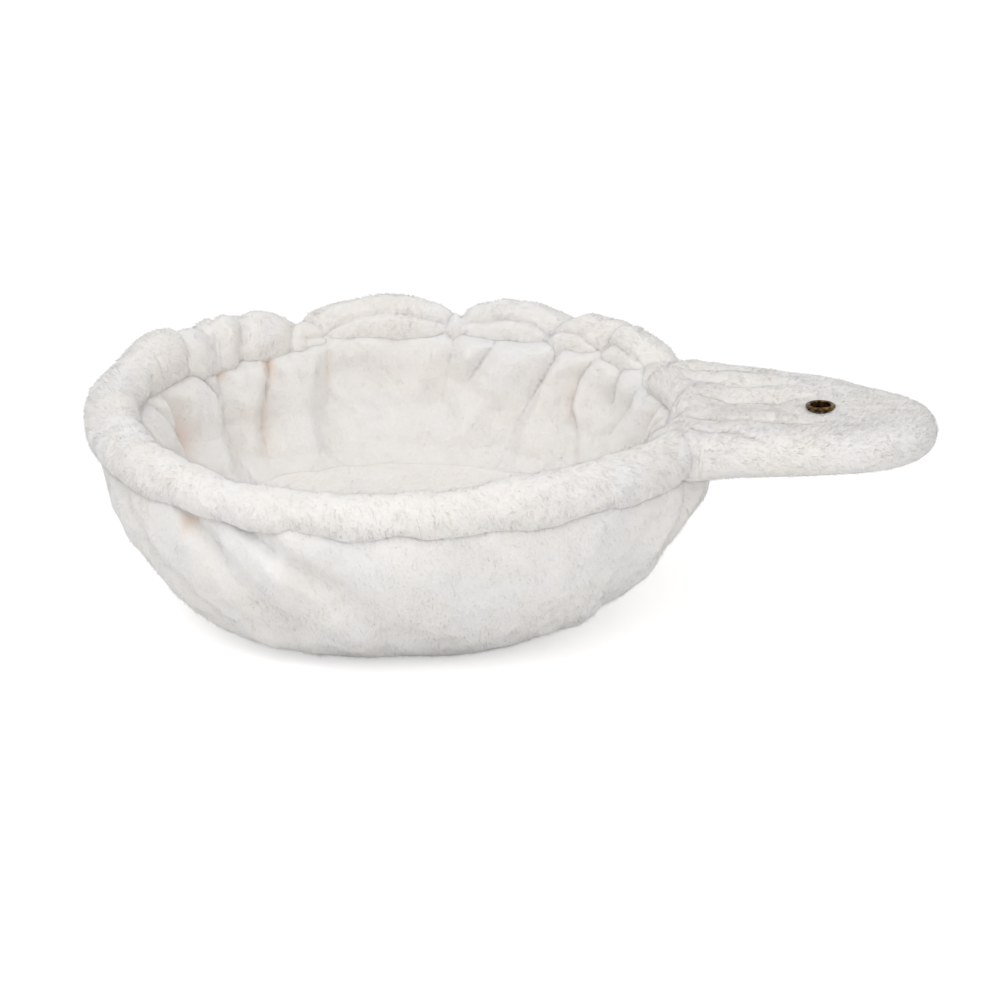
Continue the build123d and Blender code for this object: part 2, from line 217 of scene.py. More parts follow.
def tubeSkin(name, points, values):
    # a closed tube: rows along it, columns round it, each end zipped shut from side to side
    rows, columns = points.shape[:2]
    quads = gridQuads(rows, columns, False, True)
    near = np.arange(columns // 2)
    far = (columns - near) % columns
    beforeFar = (far - 1) % columns
    zipped = np.vstack([np.stack([near, near + 1, beforeFar], axis=1)[:-1],
                        np.stack([near, beforeFar, far], axis=1)[1:]])
    triangles = np.vstack([quads[:, [0, 1, 2]], quads[:, [0, 2, 3]], zipped, zipped + (rows - 1) * columns])
    obj = meshObject(name, points, triangles, values)
    tidyMesh(obj)
    return obj


def lensSkin(name, upper, lower):
    # two round grids, each from its outer ring to its middle, closed along their rings
    rows, columns = upper.shape[:2]
    quads = gridQuads(rows, columns, False, True)
    between = gridQuads(2, columns, False, True)
    between = np.where(between >= columns, between - columns + rows * columns, between)
    both = np.concatenate([upper, lower], axis=0)
    faces = np.vstack([quads, quads + rows * columns, between])
    obj = meshObject(name, both, faces, marks(both.shape[:2]))
    tidyMesh(obj, 0.2)
    return obj


def clothSkin(name, points, normals, thickness, values):
    # a closed sheet: the outer face, an inner face one thickness behind it, and a turned edge at each end
    rows, columns = points.shape[:2]
    loop = np.concatenate([points, (points - normals * thickness)[::-1]], axis=0)
    quads = gridQuads(2 * rows, columns, True, True)
    both = {label: np.concatenate([numbers, numbers[::-1]], axis=0) for label, numbers in values.items()}
    obj = meshObject(name, loop, quads, both)
    tidyMesh(obj)
    return obj


def pile(name, points, normals, nap, density, settings, warm=None):
    # short closed fibres, four faces each, rooted all over a grid of points that goes round
    seed, count, tuft = settings["seed"], settings["count"], settings["tuft"]
    rng = np.random.default_rng(seed)
    columns = points.shape[1]
    right = (np.arange(columns) + 1) % columns
    a, b = points[:-1], points[:-1][:, right]
    c, d = points[1:][:, right], points[1:]
    area = np.linalg.norm(np.cross(c - a, d - b), axis=-1) / 2
    weight = (area * (density[:-1] + density[1:][:, right]) / 2).ravel()
    chosen = np.searchsorted(np.cumsum(weight) / weight.sum(), rng.random(count))
    row, column = chosen // columns, chosen % columns
    after = right[column]
    u, v = rng.random(count)[:, None], rng.random(count)[:, None]

    def blend(field):
        field = field if field.ndim == 3 else field[..., None]
        upper = field[row, column] * (1 - u) + field[row, after] * u
        lower = field[row + 1, column] * (1 - u) + field[row + 1, after] * u
        return upper * (1 - v) + lower * v

    root = blend(points)
    out = unit(blend(normals))
    along = blend(nap)
    along = unit(along - out * (along * out).sum(axis=1, keepdims=True))
    side = np.cross(out, along)
    swirl, drift = [np.stack([lumps(root, size, seed + step + axis) for axis in range(3)], axis=1)
                    for size, step in ((tuft, 7), (tuft * 4, 17))]
    lean = np.radians(settings["lean"] + rng.normal(size=count) * settings["scatter"])[:, None]
    aim = out * np.cos(lean) + along * np.sin(lean)
    aim = aim + side * rng.normal(size=(count, 1)) * settings["splay"]
    aim = aim + swirl * settings["swirl"] + drift * settings["drift"]
    up = (aim * out).sum(axis=1, keepdims=True)
    aim = unit(aim + out * np.maximum(settings["leastUp"] - up, 0))
    reach = settings["length"] * rng.uniform(*settings["lengths"], count)
    reach = reach * (1 + unevenness(root, ((*settings["patches"], seed + 31),)))
    tip = root + aim * reach[:, None]
    tip[:, 2] = np.maximum(tip[:, 2], baseZ)
    half = settings["width"] / 2 * rng.uniform(*settings["widths"], count)[:, None]
    foot = root - out * settings["sunk"]
    # heel and toe stand about as far from the middle as the sides do
    heel, toe = foot - along * half * 0.6, foot + along * half * 1.1
    corners = np.stack([heel + side * half, heel - side * half, toe, tip], axis=1)
    order = np.array([[0, 1, 2], [0, 3, 1], [1, 3, 2], [2, 3, 0]])
    faces = (np.arange(count)[:, None, None] * 4 + order[None]).reshape(-1, 3)
    # each fibre is 0 at its foot, which takes the painted shade of the root colour, and 1 at its tip
    tips = np.tile([0.0, 0.0, 0.0, 1.0], count)
    tint = np.repeat(blend(warm)[:, 0], 4) if warm is not None else np.zeros(count * 4)
    return meshObject(name, corners, faces, {"tip": tips, "warm": tint})


# Materials

def hexColour(text):
    channels = [int(text[at:at + 2], 16) / 255 for at in (0, 2, 4)]
    return tuple(c / 12.92 if c <= 0.04045 else ((c + 0.055) / 1.055) ** 2.4 for c in channels) + (1.0,)


def addNode(tree, kind, inputs=None, links=None, **settings):
    node = tree.nodes.new(kind)
    for key, value in settings.items():
        setattr(node, key, value)
    for key, value in (inputs or {}).items():
        node.inputs[key].default_value = value
    for key, source in (links or {}).items():
        tree.links.new(source, node.inputs[key])
    return node


def startMaterial(name):
    material = bpy.data.materials.new(name)
    material.use_nodes = True
    tree = material.node_tree
    shader = tree.nodes["Principled BSDF"]
    place = addNode(tree, "ShaderNodeTexCoord").outputs["Object"]
    return material, tree, shader, place


def dress(obj, material):
    obj.data.materials.clear()
    obj.data.materials.append(material)


# the root colour is painted shade at the foot of the pile, and the warm tint is painted warm light
plushLook = {"tip": "F8F5F2", "root": "F3EFEA", "cool": "F4F4F5", "paintedWarmTint": "D9A27C", "sheen": 0.25}


def plushMaterial(name, glow, glowReach):
    # brushed polyester plush: matt, bright at the tips of the pile and a little darker at the roots, which is painted
    # shade
    material, tree, shader, place = startMaterial(name)
    tip = addNode(tree, "ShaderNodeAttribute", attribute_name="tip").outputs["Fac"]
    warm = addNode(tree, "ShaderNodeAttribute", attribute_name="warm").outputs["Fac"]
    # cooler patches about 36 mm wide, as where the pile was stroked the other way
    noise = addNode(tree, "ShaderNodeTexNoise", {"Scale": 28.0, "Detail": 3.0}, {"Vector": place})
    patches = addNode(tree, "ShaderNodeMapRange", {1: 0.42, 2: 0.68, 3: 0.0, 4: 0.5}, {0: noise.outputs["Fac"]})
    colour = addNode(tree, "ShaderNodeMix", {6: hexColour(plushLook["root"]), 7: hexColour(plushLook["tip"])},
                     {0: tip}, data_type="RGBA")
    # the warm tint is painted warm light, mixed in by the warm attribute
    for share, tint in ((patches.outputs[0], "cool"), (warm, "paintedWarmTint")):
        colour = addNode(tree, "ShaderNodeMix", {7: hexColour(plushLook[tint])},
                         {0: share, 6: colour.outputs[2]}, data_type="RGBA")
    tree.links.new(colour.outputs[2], shader.inputs["Base Color"])
    shader.inputs["Roughness"].default_value = 0.95
    shader.inputs["Specular IOR Level"].default_value = 0.15
    shader.inputs["Subsurface Weight"].default_value = glow
    shader.inputs["Subsurface Radius"].default_value = (1.0, 0.92, 0.84)
    shader.inputs["Subsurface Scale"].default_value = glowReach
    shader.inputs["Sheen Weight"].default_value = plushLook["sheen"]
    shader.inputs["Sheen Roughness"].default_value = 0.5
    # tufts about 2.4 mm apart, coarser than the real fibres so that they show
    grain = addNode(tree, "ShaderNodeTexNoise", {"Scale": 420.0, "Detail": 5.0, "Roughness": 0.6}, {"Vector": place})
    bump = addNode(tree, "ShaderNodeBump", {"Strength": 0.6, "Distance": 0.0009}, {"Height": grain.outputs["Fac"]})
    tree.links.new(bump.outputs["Normal"], shader.inputs["Normal"])
    return material


plush = plushMaterial("whitePlushGround", 0.5, 0.003)
plushFibre = plushMaterial("whitePlushFibre", 1.0, 0.007)


def finishPlush(obj, *replaced):
    # a cloth takes the place of CAD nodes, and a pile of none
    dress(obj, plush if replaced else plushFibre)
    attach(obj, "root")
    if replaced:
        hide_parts(*replaced)


fibre = {
    # the length and its spread, and the height and size of patches where it's longer
    "length": 2.4, "lengths": (0.65, 1.2), "patches": (0.12, 16),
    "width": 0.15, "widths": (0.8, 1.2), "sunk": 0.3,
    "lean": 64, "scatter": 13, "leastUp": 0.25,  # degrees from upright, their spread, and the least rise of a tip
    "splay": 0.22, "swirl": 0.06, "drift": 0.042, "tuft": 7,  # sideways: each by itself, in tufts and over four tufts
}


# Rim: the padded roll round the hoop, scrunched into lobes along the back

rim = {
    "rows": 760, "columns": 60, "radius": 11.0, "start": 14, "end": 346, "groove": 3.4, "cover": 2.6,
    # turn where a lobe starts and ends, rise of its top, bulge towards the bowl, slant and depth of its creases
    "lobes": (
        (31, 45, 4.6, 1, 2, 0.8), (45, 59.5, 9.5, 1, 4, 0.9), (59.5, 83, 11, 1, 3, 0.8), (84, 114.2, 11, 1, -2, 0.8),
        (118, 168, 0, 3.2, 0, 0), (119, 131.5, 1.6, 1.4, 3, 0.8), (131.5, 138.5, 1.4, 1.4, 4, 0.75),
        (138.5, 148.5, 1.8, 1.6, 3, 0.65), (148.5, 161, 1, 1.2, 2, 0.35), (161, 214, 0, 3.5, 0, 0),
    ),
    "lobeRound": 2.4, "creaseWidth": 1.7, "creaseSharp": 1.2, "outerEase": 0.55,
    # height of the roll's top along the back, at these turns
    "crestTurns": (30, 37, 43, 50, 116, 120, 124, 130.5, 133, 136, 138, 142, 149, 155, 162, 172),
    "crest": (0, 3.2, 7.4, 0, 0, 1, 6, 10.6, 7.4, 10, 10.5, 2, 7.2, 7.6, 5.2, 2.2),
    "backTurns": (28, 36, 154, 166), "backOut": 3.6,  # the lobes stand out over the elastic
    # the back left is pushed out and up
    "shoulderTurn": 168, "shoulderReach": 42, "shoulderOut": 2.4, "shoulderUp": 4.6,
    # the seam in the lobes' inner side, which wanders a little and stops short in the gap between two of them
    "seamTurns": (30, 36, 115, 121), "seamAngle": 146, "seamWidth": 6, "seamDepth": 2.4,
    "seamWander": 6, "seamGap": 83.5, "seamGapReach": 6, "seamGapShare": 0.8,
    "dipTurn": 258, "dipReach": 46, "dip": 4.0, "slim": 1.3,  # the front sinks a little and is slimmer
    "endEase": 8, "endShare": 0.7,  # the ends are slimmer, inside the tongue
    "uneven": ((0.5, 34, 3), (0.25, 11, 4)), "tip": 0.35, "alongNap": 0.35,
}


def rimSection(turn, angle):
    radius = np.full_like(turn, rim["radius"])
    rise = np.zeros_like(turn)
    bulge = np.zeros_like(turn)
    groove = np.zeros_like(turn)
    for start, end, lift, swell, slant, crease in rim["lobes"]:
        slanted = turn + slant * np.cos(angle)
        share = np.clip((slanted - start) / (end - start), 0, 1)
        full = np.sqrt(np.clip(1 - np.abs(2 * share - 1) ** rim["lobeRound"], 0, 1))
        rise += full * lift / 2
        bulge += full * swell / 2
        for edge in (start, end):
            far = np.abs((slanted - edge) / rim["creaseWidth"])
            groove = np.maximum(groove, np.exp(-far ** rim["creaseSharp"]) * crease)
    rise += np.interp(turn, rim["crestTurns"], rim["crest"]) / 2
    groove *= 1 - rim["outerEase"] * np.clip(np.cos(angle), 0, 1)
    seam = plateau(turn, *rim["seamTurns"])
    seam = seam * (1 - rim["seamGapShare"] * bump(turn, rim["seamGap"], rim["seamGapReach"]))
    wander = rim["seamWander"] * np.sin(np.radians(turn) * 9 + 1)
    off = (np.degrees(angle) - rim["seamAngle"] - wander) / rim["seamWidth"]
    dent = np.exp(-off ** 2) * rim["seamDepth"] * seam
    front = bump(turn, rim["dipTurn"], rim["dipReach"])
    radius = radius - rim["groove"] * groove - dent - rim["slim"] * front
    return radius, rise - rim["dip"] * front, bulge


def rimPoints():
    turn, angle = np.meshgrid(np.linspace(rim["start"], rim["end"], rim["rows"]),
                              np.linspace(0, 2 * math.pi, rim["columns"], endpoint=False), indexing="ij")
    radius, rise, bulge = rimSection(turn, angle)
    ends = plateau(turn, rim["start"], rim["start"] + rim["endEase"], rim["end"] - rim["endEase"], rim["end"])
    radius = radius * (rim["endShare"] + (1 - rim["endShare"]) * ends)
    shoulder = bump(turn, rim["shoulderTurn"], rim["shoulderReach"])
    across = ringRadius - bulge + (radius + bulge) * np.cos(angle) + rim["shoulderOut"] * shoulder
    across = across + rim["backOut"] * plateau(turn, *rim["backTurns"]) * np.clip(np.cos(angle), 0, 1) ** 0.6
    height = ringZ + rise + (radius + np.maximum(rise, 0)) * np.sin(angle) + rim["shoulderUp"] * shoulder
    aim = np.radians(turn)
    points = ringPoints(ringX, across, aim, height)
    bar = ringPoints(ringX, ringRadius, aim, ringZ)
    points = points + unit(points - bar) * unevenness(points, rim["uneven"])[..., None]
    return points, turn, angle


print("rim")
rimGrid, rimTurn, rimAngle = rimPoints()
rimOut = facing(gridNormals(rimGrid, True), rimGrid - rimGrid.mean(axis=1, keepdims=True))
rimSleeve = tubeSkin("rimSleeve", rimGrid, marks(rimTurn.shape, tip=rim["tip"]))
finishPlush(rimSleeve, "rim_sleeve")
rimCore = (rimGrid - rimOut * rim["cover"])[6:-6:3, ::2]  # coarser, and short of both ends
rimWadding = tubeSkin("rimWadding", rimCore, {})
# the nap is brushed down on the outside and the top, and up on the inside
rimNap = unit(np.gradient(rimGrid, axis=1)) * np.where(np.cos(rimAngle) > -0.2, -1, 0.6)[..., None]
rimNap = rimNap + unit(np.gradient(rimGrid, axis=0)) * rim["alongNap"]
frontHalf = smoothRamp(rimTurn, 160, 170)
for label, share, seed in (("rimPileFront", frontHalf, 11), ("rimPileBack", 1 - frontHalf, 12)):
    settings = {**fibre, "count": 30000, "seed": seed, "length": 2.7, "lean": 62, "splay": 0.17}
    finishPlush(pile(label, rimGrid, rimOut, rimNap, share + 1e-6, settings))


# Liner: the inner wall in fat pleats, from the roll down to the floor

liner = {
    "rows": 76, "crowding": 1.15, "columns": 480, "thickness": 2.5, "top": -2, "bottom": 66,
    "pleat": 11.5, "swell": 20.0,  # height of the pleats, and the depth at which they reach it
    "depths": (-2, 0, 4, 12.4, 30, 48, 60, 66), "radii": (134, 130, 128.5, 128.5, 125.5, 117, 104, 94),
    # where the sleeve has its seam, the wall starts higher, at the seam
    "seamDepths": (-6.5, -5, -2, 4, 12.4, 30, 48, 60, 66),
    "seamRadii": (133, 129.2, 127.6, 127.4, 127.8, 125.5, 117, 104, 94),
    "seamTop": -6.5, "seamSwell": 11.0, "seamTurns": (26, 33, 106, 124),
    "soft": 0.35, "softer": 0.35, "softDepths": (6, 40),  # creases are sharp at the top and softer below
    "tuckTurn": 36, "tuckDepth": 14,  # no creases at the tongue's edge
    "foot": 0.6, "footDepths": (40, 62),  # the pleats lose this share towards the floor
    "waveHeight": 0.8, "waves": 11,  # of the edge at the top
    # flatter stretches: the turns between which each comes and goes, and the share of the pleats that it takes
    "calms": ((76, 90, 108, 122, 0.6), (10, 26, 42, 54, 0.45)),
    "uneven": ((0.9, 34, 21), (0.25, 10, 22)),
    # each crease: its line of turn and depth, its strength and its reach before and after it
    "creases": (
        (((6, -7), (16, 19), (24, 36)), 0.9, 9, 10),
        (((15, -7), (29, 34)), 0.95, 9, 12),
        (((27, -7), (34, 14), (41, 33)), 0.75, 10, 9),
        (((37.5, -7), (39.5, 6), (41.5, 17)), 1.0, 9, 9),
        (((46.6, -7), (51.5, 8), (52.6, 21), (48.6, 50)), 1.0, 10, 18),
        (((57, -7), (64, 21), (67, 35), (69, 52)), 1.0, 10, 24),
        (((73, -7), (77, 7), (80.5, 18)), 0.8, 16, 14),
        (((83.7, -7), (86.5, 29)), 0.85, 13, 16),
        (((97, -7), (97, 14)), 0.35, 14, 14),
        (((113, -7), (113, 30), (110, 46)), 1.0, 22, 15),
        (((128.4, -7), (128.4, 6), (130.9, 50)), 1.0, 16, 13),
        (((142, -7), (142, 11), (138, 54)), 1.0, 13, 14),
        (((151, -7), (142.5, 14)), 0.9, 8, 8),
        (((164, -7), (158, 30), (159, 50)), 1.0, 20, 9),
        (((172, -7), (164, 20)), 0.8, 8, 8),
        (((186, -7), (184, 50)), 0.9, 13, 13),
        (((203, -7), (206, 50)), 0.85, 15, 15),
        (((222, -7), (220, 46)), 0.9, 15, 15),
        (((241, -7), (246, 50)), 0.8, 15, 17),
        (((262, -7), (263, 44)), 0.9, 15, 15),
        (((283, -7), (279, 50)), 0.85, 17, 15),
        (((302, -7), (304, 46)), 0.9, 15, 15),
        (((321, -7), (318, 50)), 0.85, 13, 15),
        (((338, -7), (336, 40)), 0.8, 13, 11),
        (((352, -7), (350, 34)), 0.8, 11, 11),
    ),
    # painted warm light in the creases: turn, depth, reach in turn and in depth, and strength
    "warm": ((159, 28, 4, 13, 0.32), (141.6, 1, 1.6, 5, 0.45), (128.6, 2, 1.4, 8, 0.5), (130.2, 30, 1.3, 16, 0.22),
             (51.5, 20, 1.6, 9, 0.22), (113, 12, 1, 9, 0.15)),
}


def linerPoints():
    share, turn = np.meshgrid(np.linspace(0, 1, liner["rows"]) ** liner["crowding"],
                              np.linspace(0, 360, liner["columns"], endpoint=False), indexing="ij")
    seam = plateau(turn, *liner["seamTurns"])
    top = liner["top"] + (liner["seamTop"] - liner["top"]) * seam
    depth = top + (liner["bottom"] - top) * share
    wall = np.interp(depth, liner["depths"], liner["radii"]) * (1 - seam)
    wall = wall + np.interp(depth, liner["seamDepths"], liner["seamRadii"]) * seam
    soft = liner["soft"] + liner["softer"] * smoothRamp(depth, *liner["softDepths"])
    height = foldHeight(turn, depth, wall, liner["creases"], soft)
    tucked = bump((turn + 180) % 360 - 180, 0, liner["tuckTurn"]) * (1 - smoothRamp(depth, 0, liner["tuckDepth"]))
    height = height + (1 - height) * tucked
    warm = paintedWarmLight(turn, depth, liner["warm"])
    fullness = 1 - liner["foot"] * smoothRamp(depth, *liner["footDepths"])
    start = top + liner["waveHeight"] * (1 + np.sin(np.radians(turn) * liner["waves"]))
    swell = liner["swell"] + (liner["seamSwell"] - liner["swell"]) * seam
    shoulder = quarterRound(1 - np.clip((depth - start) / swell, 0, 1))
    calm = 1
    for *turns, less in liner["calms"]:
        calm = calm * (1 - less * plateau(turn, *turns))
    radius = wall - liner["pleat"] * height * fullness * shoulder * calm
    aim = np.radians(turn)
    lean = baseLean * (depth / bowlDepth) ** 2
    points = ringPoints(ringX - lean, radius, aim, ringZ - depth)
    inward = ringPoints(0, -1, aim, 0)
    points = points + inward * unevenness(points, liner["uneven"])[..., None]
    return points, warm, inward


print("liner")
linerGrid, linerWarm, linerInward = linerPoints()
linerOut = facing(gridNormals(linerGrid, True), linerInward)
bowlLiner = clothSkin("bowlLiner", linerGrid, linerInward, liner["thickness"], marks(linerWarm.shape, linerWarm))
finishPlush(bowlLiner, "bowl_liner")
down = np.zeros_like(linerGrid) + (0, 0, -1)
settings = {**fibre, "count": 22000, "seed": 25}
finishPlush(pile("linerPile", linerGrid, linerOut, down, np.ones(linerWarm.shape), settings, linerWarm))


# Floor: a soft round that lies in the foot of the liner

floorLook = {
    "rows": 64, "columns": 200, "radius": 109, "edge": 0.95, "sink": 2.4, "crown": 1.2,
    "upturn": 2.6, "upturnStart": 0.74,  # its edge turns up against the liner
    "ray": 0.8, "rays": 13, "rayBend": 2, "rayBends": 3, "rayStart": 0.55, "rayFull": 0.9,
    "share": 0.8, "uneven": ((0.9, 45, 31), (0.3, 12, 32)), "nap": (1, 0.3, 0),
}


def floorPoints():
    reach, turn = discGrid(floorLook)
    radius = reach * floorLook["radius"]
    lean = baseLean * ((ringZ - floorLow.z) / bowlDepth) ** 2
    edge = floorLook["edge"]
    bent = turn * floorLook["rays"] + floorLook["rayBend"] * np.sin(turn * floorLook["rayBends"])
    rayed = floorLook["ray"] * np.cos(bent) * smoothRamp(reach, floorLook["rayStart"], floorLook["rayFull"])
    points = ringPoints(ringX - lean, radius, turn, 0)
    swell = (rayed + unevenness(points, floorLook["uneven"])) * floorLook["share"]
    top = floorHigh.z - floorLook["sink"] + floorLook["crown"] * np.cos(reach * math.pi / 2) + swell
    top = top + floorLook["upturn"] * smoothRamp(reach, floorLook["upturnStart"], edge)
    points[..., 2] = floorLow.z + (top - floorLow.z) * quarterRound((reach - edge) / (1 - edge))
    return points


print("floor")
floorGrid = floorPoints()
floorUp = gridNormals(floorGrid, True)
floorUp = floorUp * np.sign(floorUp[..., 2:3] + 1e-9)
flat = floorGrid.copy()
flat[..., 2] = floorLow.z
linerFloor = lensSkin("linerFloor", floorGrid, flat)
finishPlush(linerFloor, "liner_floor")
floorNap = np.zeros_like(floorGrid) + floorLook["nap"]
settings = {**fibre, "count": 9000, "seed": 35}
finishPlush(pile("floorPile", floorGrid, floorUp, floorNap, np.ones(floorGrid.shape[:2]), settings))


# Outer wall: the plush bag with soft slanting folds, and the round panel sewn in under it

outer = {
    "rows": 64, "columns": 440, "fold": 6.0, "soft": 0.85, "fade": 8, "thickness": 2.5, "skin": 0.8,
    # where the bag hangs fuller or slacker: turn, depth, their reach and how far out
    "hips": ((322, 56, 34, 34, 2.6), (222, 54, 28, 34, 2.6), (280, 80, 30, 26, -2.2), (338, 26, 22, 26, 3.6),
             (192, 36, 32, 36, -2.0)),
    "depths": (7, 12.4, 28.3, 42.6, 60.2, 76.9, 87.2, 90.5, 92),
    "radii": (140, 143, 141.2, 135, 122, 105.5, 87, 77, 62), "rounding": 6,
    "calmDepths": (74, 90), "leastUneven": 0.3,  # the folds die away above the base
    "uneven": ((1.1, 48, 41), (0.5, 17, 42)), "clear": 0.2, "nap": (0.25, 0, -1),
    "waddingGap": 3.2, "waddingThickness": 3.0,
    "creases": (
        (((230, 10), (237, 28), (242, 45), (247, 66)), 1.0, 9, 17),
        (((243, 10), (252, 26), (261, 43), (271.5, 68)), 1.0, 9, 24),
        (((327, 22), (325, 38), (327, 53)), 0.7, 14, 14),
        (((340, 12), (337, 30), (330, 60)), 0.6, 14, 16),
        (((212, 12), (217, 34), (226, 60)), 0.5, 14, 16),
        (((196, 12), (199, 34), (208, 62)), 0.5, 16, 16),
        (((284, 12), (290, 30)), 0.3, 18, 20),
        (((178, 12), (176, 36), (182, 64)), 0.55, 14, 16),
        (((160, 12), (156, 34), (158, 66)), 0.6, 14, 16),
        (((143, 12), (146, 40), (142, 62)), 0.6, 14, 14),
        (((124, 12), (120, 40), (124, 70)), 0.55, 16, 16),
        (((103, 12), (106, 36), (102, 60)), 0.5, 16, 18),
        (((82, 12), (78, 40), (81, 68)), 0.6, 16, 16),
        (((60, 12), (63, 38), (58, 62)), 0.55, 14, 16),
        (((40, 12), (36, 34), (39, 64)), 0.6, 14, 14),
        (((22, 12), (25, 40), (20, 60)), 0.6, 12, 14),
        (((5, 12), (2, 34), (6, 56)), 0.5, 12, 14),
    ),
    # painted warm light at the top of the first crease
    "warm": ((231, 15, 1.5, 6, 0.3),),
}


def outerPoints():
    share = np.linspace(0, 1, outer["rows"])
    runDepth = np.array(outer["depths"], dtype=float)
    runRadius = np.array(outer["radii"], dtype=float)
    run = np.append(0, np.cumsum(np.hypot(np.diff(runDepth), np.diff(runRadius))))
    rowDepth = np.interp(share * run[-1], run, runDepth)
    rowRadius = np.interp(share * run[-1], run, runRadius)
    soften(rowDepth, outer["rounding"])
    soften(rowRadius, outer["rounding"])
    turnLine = np.linspace(0, 360, outer["columns"], endpoint=False)
    depth = np.repeat(rowDepth[:, None], len(turnLine), axis=1)
    wall = np.repeat(rowRadius[:, None], len(turnLine), axis=1)
    turn = np.repeat(turnLine[None], len(rowDepth), axis=0)
    height = foldHeight(turn, depth, wall, outer["creases"], outer["soft"], outer["fade"])
    warm = paintedWarmLight(turn, depth, outer["warm"])
    calm = 1 - smoothRamp(depth, *outer["calmDepths"])
    aim = np.radians(turn)
    lean = baseLean * (depth / bowlDepth) ** 2
    slope = unit(np.stack([np.gradient(rowDepth), -np.gradient(rowRadius)], axis=1))
    outR, outZ = slope[:, 0][:, None], -slope[:, 1][:, None]
    push = outer["skin"] - outer["fold"] * (1 - height) * calm
    sample = ringPoints(0, wall, aim, -depth)
    for atTurn, atDepth, wide, deep, out in outer["hips"]:
        push = push + out * bump(turn, atTurn, wide) * bump(depth, atDepth, deep)
    least = outer["leastUneven"]
    push = push + unevenness(sample, outer["uneven"]) * (least + (1 - least) * calm)
    radius = wall + push * outR
    height = np.maximum(ringZ - depth + push * outZ, baseZ + outer["clear"])
    points = ringPoints(ringX - lean, radius, aim, height)
    return points, warm


print("outer wall")
outerGrid, outerWarm = outerPoints()
outerOut = facing(gridNormals(outerGrid, True), outerGrid - (ringX, 0, ringZ))
bowlOuter = clothSkin("bowlOuter", outerGrid, outerOut, outer["thickness"], marks(outerWarm.shape, outerWarm))
finishPlush(bowlOuter, "bowl_outer")
waddingGrid = (outerGrid - outerOut * outer["waddingGap"])[::2, ::2]
bowlWadding = clothSkin("bowlWadding", waddingGrid, outerOut[::2, ::2], outer["waddingThickness"], {})
down = np.zeros_like(outerGrid) + outer["nap"]
outerTurn = np.degrees(np.arctan2(outerGrid[..., 1], outerGrid[..., 0] - ringX)) % 360
front = smoothRamp(outerTurn, 178, 186)
for label, share, seed in (("outerPileFront", front, 45), ("outerPileBack", 1 - front, 46)):
    settings = {**fibre, "count": 22000, "seed": seed}
    finishPlush(pile(label, outerGrid, outerOut, down, share + 1e-6, settings, outerWarm))


baseLook = {
    "rows": 30, "columns": 160, "radius": 62.5, "edge": 0.93, "hem": 3.2, "swell": 2.4, "lid": 4.2,
    "uneven": ((0.3, 30, 51),), "nap": (1, 0, 0),
}


def basePoints():
    reach, turn = discGrid(baseLook)
    radius, edge = reach * baseLook["radius"], baseLook["edge"]
    points = ringPoints(baseX, radius, turn, 0)
    swell = baseLook["swell"] * quarterRound((reach - edge) / (1 - edge))
    points[..., 2] = baseZ + baseLook["hem"] - swell + unevenness(points, baseLook["uneven"]) * (1 - reach ** 6)
    return points


print("base")
baseGrid = basePoints()
baseDown = gridNormals(baseGrid, True)
baseDown = baseDown * -np.sign(baseDown[..., 2:3] + 1e-9)
lid = baseGrid.copy()
lid[..., 2] = baseZ + baseLook["lid"]
bowlBase = lensSkin("bowlBase", baseGrid, lid)
finishPlush(bowlBase, "bowl_base")
baseNap = np.zeros_like(baseGrid) + baseLook["nap"]
settings = {**fibre, "count": 12000, "seed": 55, "length": 2.2, "lean": 70}
finishPlush(pile("basePile", baseGrid, baseDown, baseNap, np.ones(baseGrid.shape[:2]), settings))


# Tongue: the flat padded paddle, whose top runs on over the hoop and down into the bowl

